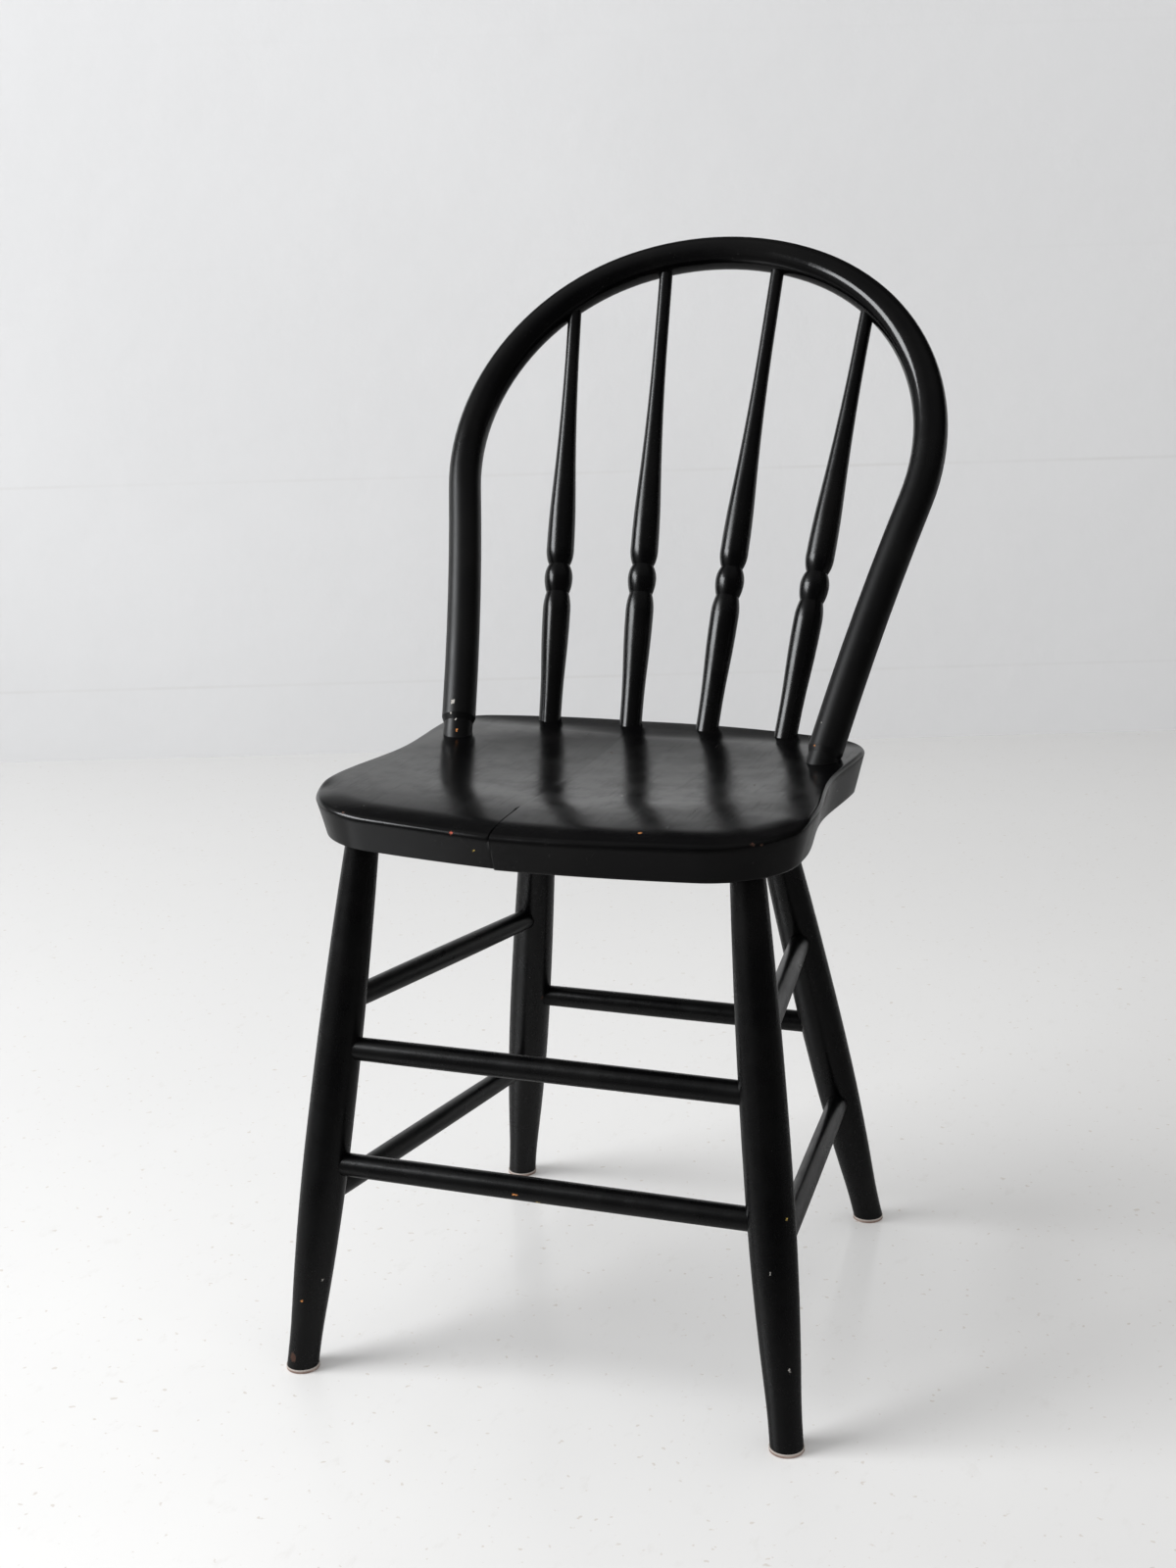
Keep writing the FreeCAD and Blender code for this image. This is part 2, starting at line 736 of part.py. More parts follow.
# Bow: one round rod bent in a leaning plane, tapered to a neck and a tenon at each foot
bow = new_body("bow_rod")
bow_line = new_sketch(bow, "bow_centreline", "XY_Plane")
bow_halves = {
    side_name: [
        (f"{corner}_across", f"{corner}_up")
        for corner in (f"bow_{side_name}_neck", "bow_straight_end", "bow_side_end", "bow_crown_corner")
    ]
    for side_name in SIDES
}
right_half = bow_halves["right"]
left_half = [mirrored(corner) for corner in reversed(bow_halves["left"])]
side_runs = ["line", ("bends right", "bow_side_radius"), ("bends left", "bow_shoulder_radius")]
opposite_runs = [("bends left", "bow_shoulder_radius"), ("bends right", "bow_side_radius"), "line"]
draw(bow_line, right_half + left_half, side_runs + [("bends left", "bow_crown_radius")] + opposite_runs)

bow_section = bow.newObject("Sketcher::SketchObject", "bow_section")
bow_section.AttachmentSupport = [(bow_line, "Edge1"), (bow_line, "Vertex1")]
bow_section.MapMode = "NormalToEdge"
ring = bow_section.addGeometry(Part.Circle(Vector(0, 0, 0), Vector(0, 0, 1), size("bow_radius")), False)
bow_section.addConstraint(Sketcher.Constraint("Coincident", ring, 3, -1, 1))
held = bow_section.addConstraint(Sketcher.Constraint("Radius", ring, size("bow_radius")))
bow_section.setExpression("Constraints[%d]" % held, bind("bow_radius"))
rod = bow.newObject("PartDesign::AdditivePipe", "bow_bend")
rod.Profile = bow_section
rod.Spine = bow_line
document.recompute()


bow_ends = {}
for side_name, side in SIDES.items():
    corner = BOW_CORNERS[f"bow_{side_name}_neck"]
    bow_ends[side_name] = Vector(side * corner.x, corner.y, 0)


def at_neck(edge):
    """True for the two end circles of the bent rod."""
    return any((edge.CenterOfMass - bow_end).Length < SAME_PLACE for bow_end in bow_ends.values())


neck = bow.newObject("PartDesign::Chamfer", "bow_neck_taper")
neck.Base = (rod, edge_names(rod.Shape, at_neck))
neck.ChamferType = "Two distances"
neck.setExpression("Size", bind("bow_neck_taper"))
neck.setExpression("Size2", bind("bow_neck_step"))
for side_name, side in SIDES.items():
    down = -bow_heading(foot_splay)
    down.x = down.x * side
    tenon = bow.newObject("PartDesign::AdditiveCylinder", f"bow_tenon_{side_name}")
    tenon.setExpression("Radius", bind("bow_tenon_radius"))
    tenon.setExpression("Height", bind(f"bow_{side_name}_neck_length + bow_socket_depth + tool_overrun"))
    tenon_start = bow_ends[side_name] - down * size("tool_overrun")
    tenon.Placement = FreeCAD.Placement(tenon_start, FreeCAD.Rotation(Vector(0, 0, 1), down))
    tenon_end = Vector(side * bow_foot.x, 0, 0) + down * (size("bow_socket_depth") + size("socket_end_gap"))
    seat_cutters.append(
        drill(
            f"bow_{side_name}_in_seat",
            bow_stance.multVec(tenon_end),
            bow_turn.multVec(-down),
            "bow_tenon_radius",
            size("bow_socket_depth") + size("socket_end_gap") + size("tool_overrun"),
        )
    )
bow.Placement = bow_stance
pieces["bow"] = cut("bow", bow, bow_cutters)

# Seat boards: the plank is glued up from two boards, and the sockets are bored afterwards
plank_bottom = size("rim_height") - size("seat_thickness")
joint = Vector(size("board_joint"), 0, size("rim_height")) - middle
lift = FreeCAD.Placement(Vector(0, 0, 0), FreeCAD.Rotation(Vector(0, 1, 0), size("left_board_lift_angle")), joint)
for side_name, side in SIDES.items():
    board_name = f"seat_board_{side_name}"
    block = document.addObject("Part::Box", board_name + "_block")
    outer = side * (size("front_half_width") + size("tool_overrun"))
    bottom = plank_bottom + size("left_board_step") if side < 0 else plank_bottom - size("tool_overrun")
    block.Length = abs(outer - size("board_joint"))
    block.Width = size("seat_front") + size("seat_back") + 2 * size("tool_overrun")
    block.Height = size("rim_height") + size("tool_overrun") - bottom
    corner_x = min(outer, size("board_joint"))
    block.Placement.Base = Vector(corner_x, -size("seat_front") - size("tool_overrun"), bottom) - middle
    board = document.addObject("Part::Common", board_name + "_board")
    board.Base = seat
    board.Tool = block
    if side < 0:
        board.Placement = lift
    pieces[board_name] = cut(board_name, board, seat_cutters)

document.recompute()
for item in document.Objects:
    if "Invalid" in item.State or "Error" in item.State:
        raise RuntimeError(f"{item.Name} failed: {item.State}")
for piece_name, piece in pieces.items():
    piece.Label = piece_name
    if piece.Shape.isNull() or not piece.Shape.isValid() or len(piece.Shape.Solids) != 1:
        raise RuntimeError(f"{piece_name} is not one valid solid")

os.makedirs("parts", exist_ok=True)
for piece_name, piece in pieces.items():
    piece.Shape.exportStep(f"parts/{piece_name}.step")
box = Part.makeCompound([piece.Shape for piece in pieces.values()]).optimalBoundingBox(False, False)
print("pieces", len(pieces), "middle", middle, "lowest", box.XMin, box.YMin, box.ZMin)
print("highest", box.XMax, box.YMax, box.ZMax)
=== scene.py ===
import math

import bmesh
import bpy
from mathutils import Matrix, Vector


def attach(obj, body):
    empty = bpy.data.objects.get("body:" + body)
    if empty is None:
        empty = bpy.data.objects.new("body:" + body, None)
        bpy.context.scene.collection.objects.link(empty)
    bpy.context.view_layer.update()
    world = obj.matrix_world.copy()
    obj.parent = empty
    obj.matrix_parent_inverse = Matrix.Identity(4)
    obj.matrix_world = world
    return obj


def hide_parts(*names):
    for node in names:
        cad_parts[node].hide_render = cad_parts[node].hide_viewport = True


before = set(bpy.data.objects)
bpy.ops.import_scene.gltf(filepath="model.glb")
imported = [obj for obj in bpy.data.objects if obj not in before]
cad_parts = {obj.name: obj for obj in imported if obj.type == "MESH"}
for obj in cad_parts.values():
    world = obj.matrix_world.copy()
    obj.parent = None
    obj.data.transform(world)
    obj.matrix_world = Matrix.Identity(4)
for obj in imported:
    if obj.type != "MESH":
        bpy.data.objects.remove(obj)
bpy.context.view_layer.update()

# A worn black windsor chair in a white room. Metres, in the frame of the CAD model: X to the
# viewer's right, Y to the back, Z up.

scene = bpy.context.scene


# Camera: stands in front, a little to the right, and looks down at the chair

PHOTO_WIDTH = 1200
PHOTO_HEIGHT = 1600
LENS = 50
SENSOR = 36
CAMERA_PLACE = Vector((0.5662, -1.6187, 0.8637))
CAMERA_AZIMUTH = math.radians(20.63)
CAMERA_ELEVATION = math.radians(14.58)
CAMERA_ROLL = math.radians(-1.58)

level_part = math.cos(CAMERA_ELEVATION)
camera_back = Vector(
    (
        math.sin(CAMERA_AZIMUTH) * level_part,
        -math.cos(CAMERA_AZIMUTH) * level_part,
        math.sin(CAMERA_ELEVATION),
    )
)
level_right = Vector((math.cos(CAMERA_AZIMUTH), math.sin(CAMERA_AZIMUTH), 0))
level_up = camera_back.cross(level_right)
camera_right = level_right * math.cos(CAMERA_ROLL) + level_up * math.sin(CAMERA_ROLL)
camera_up = level_up * math.cos(CAMERA_ROLL) - level_right * math.sin(CAMERA_ROLL)

camera_data = bpy.data.cameras.new("camera")
camera_data.lens = LENS
camera_data.sensor_width = SENSOR
camera_data.sensor_fit = "AUTO"
camera_data.clip_start = 0.05
camera = bpy.data.objects.new("camera", camera_data)
camera_turn = Matrix((camera_right, camera_up, camera_back)).transposed()
camera.matrix_world = Matrix.Translation(CAMERA_PLACE) @ camera_turn.to_4x4()
scene.collection.objects.link(camera)
scene.camera = camera


def seen_at(across, down):
    """The piece, and the point on it, that the camera sees at a place in the photograph."""
    reach = PHOTO_HEIGHT * LENS / SENSOR
    ray = camera_right * (across - PHOTO_WIDTH / 2) + camera_up * (PHOTO_HEIGHT / 2 - down)
    ray -= camera_back * reach
    found, place, _, _, piece, _ = scene.ray_cast(
        bpy.context.evaluated_depsgraph_get(), CAMERA_PLACE, ray.normalized()
    )
    if not found:
        raise RuntimeError(f"nothing is seen at {across}, {down}")
    return piece.name, place


# Node helpers


class Nodes:
    """Short calls for making and joining the nodes of one material or of the world."""

    def __init__(self, tree, shader):
        self.tree = tree
        self.shader = tree.nodes[shader]

    def add(self, kind, inputs=None, **settings):
        node = self.tree.nodes.new(kind)
        for name, setting in settings.items():
            setattr(node, name, setting)
        for name, source in (inputs or {}).items():
            self.give(node.inputs[name], source)
        return node

    def give(self, socket, source):
        if isinstance(source, bpy.types.NodeSocket):
            self.tree.links.new(source, socket)
        else:
            socket.default_value = source

    def set(self, name, source):
        self.give(self.shader.inputs[name], source)

    def place(self):
        return self.add("ShaderNodeTexCoord").outputs["Object"]

    def parts(self, vector):
        node = self.add("ShaderNodeSeparateXYZ", {0: vector})
        return node.outputs[0], node.outputs[1], node.outputs[2]

    def scaled(self, vector, scale):
        node = self.add("ShaderNodeMapping", {"Vector": vector, "Scale": scale})
        return node.outputs["Vector"]

    def vector(self, operation, first, second):
        node = self.add("ShaderNodeVectorMath", {0: first, 1: second}, operation=operation)
        return node.outputs["Vector"]

    def length(self, vector):
        node = self.add("ShaderNodeVectorMath", {0: vector}, operation="LENGTH")
        return node.outputs["Value"]

    def noise(self, vector, scale, detail, roughness, output="Fac"):
        node = self.add(
            "ShaderNodeTexNoise",
            {"Vector": vector, "Scale": scale, "Detail": detail, "Roughness": roughness},
        )
        return node.outputs[output]

    def ramp(self, source, low, high, start=0.0, finish=1.0):
        """A smooth change from start to finish while the source goes from low to high."""
        node = self.add(
            "ShaderNodeMapRange",
            {"Value": source, "From Min": low, "From Max": high, "To Min": start, "To Max": finish},
        )
        node.interpolation_type = "SMOOTHSTEP"
        return node.outputs["Result"]

    def math(self, operation, first, second=0.0):
        node = self.add("ShaderNodeMath", {0: first, 1: second}, operation=operation)
        return node.outputs[0]

    def times(self, first, second):
        return self.math("MULTIPLY", first, second)

    def mix(self, share, first, second):
        node = self.add("ShaderNodeMix", data_type="RGBA")
        self.give(node.inputs["Factor"], share)
        self.give(node.inputs[6], first)
        self.give(node.inputs[7], second)
        return node.outputs[2]

    def bump(self, height, distance, normal=None):
        node = self.add("ShaderNodeBump", {"Height": height, "Distance": distance})
        if normal is not None:
            self.give(node.inputs["Normal"], normal)
        return node.outputs["Normal"]

    def seen_directly(self):
        return self.add("ShaderNodeLightPath").outputs["Is Camera Ray"]

    def mirrored(self):
        return self.add("ShaderNodeLightPath").outputs["Is Glossy Ray"]


def new_material(name):
    material = bpy.data.materials.new(name)
    material.use_nodes = True
    return material, Nodes(material.node_tree, "Principled BSDF")


# Seat boards: the CAD model's plank with a shallower dish and an open glue joint, drawn finely
# enough for clean reflections. Millimetres from the middle of the plank's top, turned into metres
# at the end.

MILLIMETRE = 0.001

# The plank, and the outline of its top
RIM_HEIGHT = 446.0
THICKNESS = 35.0
PLANK_MIDDLE = Vector((-4.135, -71.011, RIM_HEIGHT))
SEAT_FRONT = -176.6
SEAT_BACK = 170.0
FRONT_HALF = 192.5
EAR_HALF = 183.3
WAIST_HALF = 179.5
WAIST_PLACE = 24.0
SIDE_PLACE = -85.0
FRONT_SWEEP = 1000.0
FRONT_CORNER = 75.0
BACK_SWEEP = 500.0
BACK_CORNER = 45.0

# Its edge
UNDERCUT = 7.5
TOP_ROUND = 3.0
BOTTOM_ROUND = 2.0

# The dish, the rounded lip in front of it, and how softly both join and meet the rim
DISH_DEPTH = 5.5
DISH_SWEEP = 2300.0
DISH_LOWEST = 10.0
DISH_BACK_ARC = 1181.0
DISH_FRONT_ARC = 1338.0
LIP_START = -85.0
LIP_END = -128.0
LIP_DEPTH = 0.6
LIP_ARC = 606.0
EASING = (-15.0, -9.0, -3.0, 3.0, 9.0, 15.0)
RIM_SOFTNESS = 1.6

# The top rolls down towards the front, first gently and then faster at the edge
GENTLE_START = -92.0
GENTLE_ARC = 1300.0
ROLL_START = -80.0
ROLL_FADE = 40.0
ROLL_REACH = 26.0
ROLL_SLOPE = 0.27

# The glue joint, the left board's lift and lower step, and the crack at the front of the joint
JOINT_PLACE = -23.0
LEFT_LIFT = math.radians(1.7)
LEFT_STEP = 1.6
CRACK_HALF = 0.6
CRACK_DEPTH = 1.2
CRACK_END = -112.0
CRACK_FADE = 22.0
CRACK_FACE = -160.0
CRACK_FACE_TOP = -7.3
CRACK_FACE_DEPTH = 0.15

# How finely the boards are drawn. The rings of points close in on a place along Y.
POINT_SPACING = 2.5
RINGS_MIDDLE = -6.0
UNDERSIDE_SHARES = (0.05, 0.5, 0.9)
BOTTOM_STEPS = 3
SIDE_STEPS = 8
TOP_STEPS = 7
RIM_INSETS = (4.5, 6.5, 9.0)
TOP_RINGS = 72
CUT_TOLERANCE = 1e-5
SHARP_ANGLE = math.radians(40)
MOST_SMOOTH_CORNERS = 8


def arc(centre, radius, first, last):
    """Points along an arc, its last one left out. Angles run anticlockwise from X."""
    count = max(2, round(radius * abs(last - first) / POINT_SPACING))
    turns = [first + (last - first) * step / count for step in range(count)]
    return [
        Vector((centre[0] + radius * math.cos(turn), centre[1] + radius * math.sin(turn)))
        for turn in turns
    ]


def eased(share):
    share = min(max(share, 0.0), 1.0)
    return share * share * (3 - 2 * share)


def seat_outline():
    """The top edge of the plank, anticlockwise from the middle of the front."""
    front_centre = SEAT_FRONT + FRONT_SWEEP
    back_centre = SEAT_BACK - BACK_SWEEP
    front_drop = math.sqrt((FRONT_SWEEP - FRONT_CORNER) ** 2 - (FRONT_HALF - FRONT_CORNER) ** 2)
    back_drop = math.sqrt((BACK_SWEEP - BACK_CORNER) ** 2 - (EAR_HALF - BACK_CORNER) ** 2)
    front_turn = math.atan2(-front_drop, FRONT_HALF - FRONT_CORNER)
    back_turn = math.atan2(back_drop, EAR_HALF - BACK_CORNER)
    side_start = front_centre - front_drop
    side_finish = back_centre + back_drop
    right = arc((0, front_centre), FRONT_SWEEP, -math.pi / 2, front_turn)
    right += arc((FRONT_HALF - FRONT_CORNER, side_start), FRONT_CORNER, front_turn, 0)
    count = round((side_finish - side_start) / POINT_SPACING)
    for step in range(count):
        up = side_start + (side_finish - side_start) * step / count
        to_waist = eased((up - SIDE_PLACE) / (WAIST_PLACE - SIDE_PLACE))
        to_ear = eased((up - WAIST_PLACE) / (side_finish - WAIST_PLACE))
        across = FRONT_HALF + (WAIST_HALF - FRONT_HALF) * to_waist
        across += (EAR_HALF - WAIST_HALF) * to_ear
        right.append(Vector((across, up)))
    right += arc((EAR_HALF - BACK_CORNER, side_finish), BACK_CORNER, 0, back_turn)
    right += arc((0, back_centre), BACK_SWEEP, back_turn, math.pi / 2)
    right.append(Vector((0, SEAT_BACK)))
    left = [Vector((-point.x, point.y)) for point in reversed(right[1:-1])]
    return right + left


def arc_depth(run, radius):
    """How far an arc has left the line that it starts along."""
    return radius - math.sqrt(max(radius * radius - run * run, 0.0))


def front_inset(across, along):
    """Distance from the front edge of the top, measured squarely to the edge."""
    centre = SEAT_FRONT + FRONT_SWEEP
    corner_across = FRONT_HALF - FRONT_CORNER
    corner_drop = math.sqrt((FRONT_SWEEP - FRONT_CORNER) ** 2 - corner_across**2)
    if abs(across) * corner_drop > corner_across * (centre - along):
        return FRONT_CORNER - math.hypot(abs(across) - corner_across, along - centre + corner_drop)
    return FRONT_SWEEP - math.hypot(across, along - centre)


def roll_height(across, along):
    """Height of the rolled front, below zero."""
    gentle = arc_depth(max(GENTLE_START - along, 0.0), GENTLE_ARC)
    fade = eased((ROLL_START - along) / ROLL_FADE)
    near = max(ROLL_REACH - front_inset(across, along), 0.0) * fade
    return -gentle - ROLL_SLOPE * near * near / (2 * ROLL_REACH)


def dish_path(along):
    """Height of the dish along its middle line: two hollow arcs, and a rounded lip in front."""
    if along > DISH_LOWEST:
        return -DISH_DEPTH + arc_depth(along - DISH_LOWEST, DISH_BACK_ARC)
    if along > LIP_START:
        return -DISH_DEPTH + arc_depth(DISH_LOWEST - along, DISH_FRONT_ARC)
    return -LIP_DEPTH - arc_depth(max(along, LIP_END) - LIP_END, LIP_ARC)


def top_height(point):
    """Height of the top: the lower of the flat rim and the dish, softly joined, and the roll."""
    path = sum(dish_path(point.y + shift) for shift in EASING) / len(EASING)
    dish = DISH_SWEEP - math.sqrt((DISH_SWEEP - path) ** 2 - point.x * point.x)
    flat = min(max(0.5 + dish / (2 * RIM_SOFTNESS), 0.0), 1.0)
    return dish - dish * flat - RIM_SOFTNESS * flat * (1 - flat) + roll_height(point.x, point.y)


def raised(points, height):
    return [Vector((point.x, point.y, height(point))) for point in points]


def shrunk(points, share):
    return [
        Vector((point.x * share, (point.y - RINGS_MIDDLE) * share + RINGS_MIDDLE))
        for point in points
    ]


def seat_rings():
    """Closed rings from the middle of the underside, round the edge, to the middle of the top."""
    edge = seat_outline()
    inward = []
    for index, point in enumerate(edge):
        run = (edge[(index + 1) % len(edge)] - edge[index - 1]).normalized()
        inward.append(Vector((-run.y, run.x)))

    def ring(inset, height):
        return raised([point + way * inset for point, way in zip(edge, inward)], height)

    def level_ring(inset, height):
        return ring(inset, lambda point: height)

    def side_ring(share):
        low = BOTTOM_ROUND - THICKNESS
        inset = UNDERCUT * (1 - share)
        return ring(inset, lambda point: low + (top_height(point) - TOP_ROUND - low) * share)

    def top_ring(inset, drop):
        return ring(inset, lambda point: top_height(point) - drop)

    def bottom(point):
        return -THICKNESS

    underside = ring(UNDERCUT + BOTTOM_ROUND, bottom)
    rings = [raised(shrunk(underside, share), bottom) for share in UNDERSIDE_SHARES]
    for step in range(BOTTOM_STEPS + 1):
        turn = math.pi / 2 * step / BOTTOM_STEPS
        inset = UNDERCUT + BOTTOM_ROUND * (1 - math.sin(turn))
        rings.append(level_ring(inset, BOTTOM_ROUND * (1 - math.cos(turn)) - THICKNESS))
    rings += [side_ring(step / SIDE_STEPS) for step in range(1, SIDE_STEPS + 1)]
    for step in range(1, TOP_STEPS + 1):
        turn = math.pi / 2 * step / TOP_STEPS
        rings.append(top_ring(TOP_ROUND * (1 - math.cos(turn)), TOP_ROUND * (1 - math.sin(turn))))
    rings += [top_ring(inset, 0.0) for inset in RIM_INSETS]
    rim = rings[-1]
    for step in range(1, TOP_RINGS):
        rings.append(raised(shrunk(rim, 1 - step / TOP_RINGS), top_height))
    return rings


def seat_plank():
    """The whole plank as a bmesh."""
    rings = seat_rings()
    count = len(rings[0])
    plank = bmesh.new()
    corners = [[plank.verts.new(point) for point in ring] for ring in rings]
    middle = Vector((0, RINGS_MIDDLE))
    lowest = plank.verts.new((middle.x, middle.y, -THICKNESS))
    highest = plank.verts.new((middle.x, middle.y, top_height(middle)))
    for index in range(count):
        following = (index + 1) % count
        plank.faces.new((lowest, corners[0][following], corners[0][index]))
        plank.faces.new((highest, corners[-1][index], corners[-1][following]))
        for low, high in zip(corners, corners[1:]):
            plank.faces.new((low[index], low[following], high[following], high[index]))
    return plank


def slice_at(plank, place, normal, fill=True):
    """Cuts the plank at a plane. With fill, what lies beyond is dropped and the cut is closed."""
    cut = bmesh.ops.bisect_plane(
        plank,
        geom=plank.verts[:] + plank.edges[:] + plank.faces[:],
        dist=CUT_TOLERANCE,
        plane_co=place,
        plane_no=normal,
        clear_outer=fill,
    )
    if fill:
        edges = [item for item in cut["geom_cut"] if isinstance(item, bmesh.types.BMEdge)]
        bmesh.ops.holes_fill(plank, edges=edges)


def open_joint(plank):
    """The glue joint has opened at the front: there the boards' edges draw back to a crack."""
    for corner in plank.verts:
        at_joint = abs(corner.co.x - JOINT_PLACE) < CRACK_HALF / 2
        if at_joint and corner.co.z > -THICKNESS / 2:
            corner.co.z -= CRACK_DEPTH * eased((CRACK_END - corner.co.y) / CRACK_FADE)
        if at_joint and corner.co.y < CRACK_FACE and corner.co.z < CRACK_FACE_TOP:
            corner.co.y += CRACK_FACE_DEPTH


def seat_board(name, node, side):
    """One board of the seat. Side is -1 for the left one, which is thinner and has lifted.

    Its cut at the glue joint leans by the lift, so that the lifted board meets the other one.
    """
    plank = seat_plank()
    slice_at(plank, (JOINT_PLACE + side * CRACK_HALF, 0, 0), (1, 0, 0), fill=False)
    turn = LEFT_LIFT if side < 0 else 0.0
    slice_at(plank, (JOINT_PLACE, 0, 0), (-side * math.cos(turn), 0, -side * math.sin(turn)))
    if side < 0:
        slice_at(plank, (0, 0, LEFT_STEP - THICKNESS), (0, 0, -1))
        hinge = Matrix.Translation((JOINT_PLACE, 0, 0))
        plank.transform(hinge @ Matrix.Rotation(LEFT_LIFT, 4, "Y") @ hinge.inverted())
    open_joint(plank)
    plank.transform(Matrix.Scale(MILLIMETRE, 4) @ Matrix.Translation(PLANK_MIDDLE))
    bmesh.ops.recalc_face_normals(plank, faces=plank.faces[:])
    mesh = bpy.data.meshes.new(name)
    plank.to_mesh(mesh)
    plank.free()
    mesh.shade_smooth()
    mesh.set_sharp_from_angle(angle=SHARP_ANGLE)
    for face in mesh.polygons:
        if len(face.vertices) > MOST_SMOOTH_CORNERS:
            face.use_smooth = False
    board = bpy.data.objects.new(name, mesh)
    scene.collection.objects.link(board)
    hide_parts(node)
    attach(board, "root")
    return board


seat_boards = [
    seat_board("seat_left", "seat_board_left", -1),
    seat_board("seat_right", "seat_board_right", 1),
]


# Marks of age, and a painted highlight on the bow's left foot: places in the photograph, size in
# millimetres, stretch along X, Y and Z, and colour

RED = (0.40, 0.055, 0.02, 1)
ORANGE = (0.60, 0.22, 0.05, 1)
YELLOW = (0.60, 0.42, 0.08, 1)
PALE = (0.42, 0.40, 0.37, 1)
BROWN = (0.055, 0.022, 0.012, 1)

MARKS = [
    (460, 850, 2.6, (1.0, 1.0, 1.3), RED),
    (483, 868, 1.4, (1.0, 1.0, 1.0), YELLOW),
    (653, 850, 2.4, (0.8, 1.0, 1.0), ORANGE),
    (768, 862, 2.4, (0.5, 1.0, 1.0), BROWN),
    (777, 862, 1.8, (0.7, 1.0, 1.0), BROWN),
    (350, 829, 2.6, (0.8, 1.0, 1.4), BROWN),
    (421, 805, 1.8, (1.0, 1.0, 1.0), BROWN),
    (624, 768, 2.0, (0.6, 1.0, 1.0), BROWN),
    (634, 812, 1.3, (1.0, 1.0, 1.0), PALE),
    (636, 801, 1.8, (0.6, 1.0, 1.0), BROWN),
    (497, 762, 1.4, (1.0, 1.0, 1.0), BROWN),
    (770, 801, 1.5, (1.0, 0.5, 1.0), BROWN),
    (525, 1219, 2.0, (0.4, 1.0, 1.2), ORANGE),
    (549, 1227, 1.6, (0.4, 1.0, 1.2), YELLOW),
    (599, 1234, 1.6, (0.3, 1.0, 1.0), BROWN),
    (308, 1328, 1.8, (1.0, 1.0, 1.2), ORANGE),
    (329, 1306, 1.3, (1.0, 1.0, 0.7), PALE),
    (299, 1385, 6.0, (1.0, 1.0, 0.8), BROWN),
    (803, 1244, 1.5, (1.0, 1.0, 0.6), YELLOW),
    (806, 1399, 2.0, (1.6, 1.0, 0.6), PALE),
    (786, 1300, 1.5, (1.6, 1.0, 0.6), PALE),
    (553, 1018, 3.0, (1.0, 1.0, 1.0), BROWN),
    # The pale spots on the left foot of the bow are partly worn paint and partly a painted
    # highlight.
    (462, 716, 3.2, (1.0, 1.0, 0.6), PALE),
    (460, 727, 1.6, (1.0, 1.0, 0.7), PALE),
    (465, 734, 1.4, (1.0, 1.0, 0.7), PALE),
    (466, 745, 1.8, (1.0, 1.0, 0.6), ORANGE),
    (826, 752, 1.2, (1.0, 1.0, 1.0), PALE),
    (838, 737, 1.2, (1.0, 1.0, 0.7), PALE),
    (831, 761, 1.8, (1.0, 1.0, 1.0), ORANGE),
]

marks_on = {}
for across, down, mark_size, stretch, mark_colour in MARKS:
    piece_name, mark_place = seen_at(across, down)
    mark = (mark_place, mark_size * MILLIMETRE, stretch, mark_colour)
    marks_on.setdefault(piece_name, []).append(mark)


# Paint: thin satin black over wood. Heights and lengths in metres.

BLACK = (0.0007, 0.0007, 0.0009, 1)
RUBBED = (0.0030, 0.0028, 0.0028, 1)
DUST = (0.035, 0.034, 0.033, 1)
PAINT_IOR = 1.47

# How fast the brushed lines change along X, Y and Z, on pieces that run one way
ACROSS = (26.0, 420.0, 420.0)
ALONG = (420.0, 26.0, 420.0)
UPRIGHT = (420.0, 420.0, 26.0)

# Chips: how far their outlines wander, where their slopes start and end as shares of their size,
# and what they add to the roughness and take from the height of the paint
CHIP_WANDER = (0.004, 0.004, 0.004)
CHIP_OUTSIDE = 0.55
CHIP_INSIDE = 0.4
CHIP_ROUGHNESS = 0.3
CHIP_DEPTH = 2.0

# The bow is polished from here up, and the back of the seat leans forward in its shading
POLISH_START = 0.60
POLISH_END = 0.74
LEAN_START = 0.045
LEAN_END = 0.115


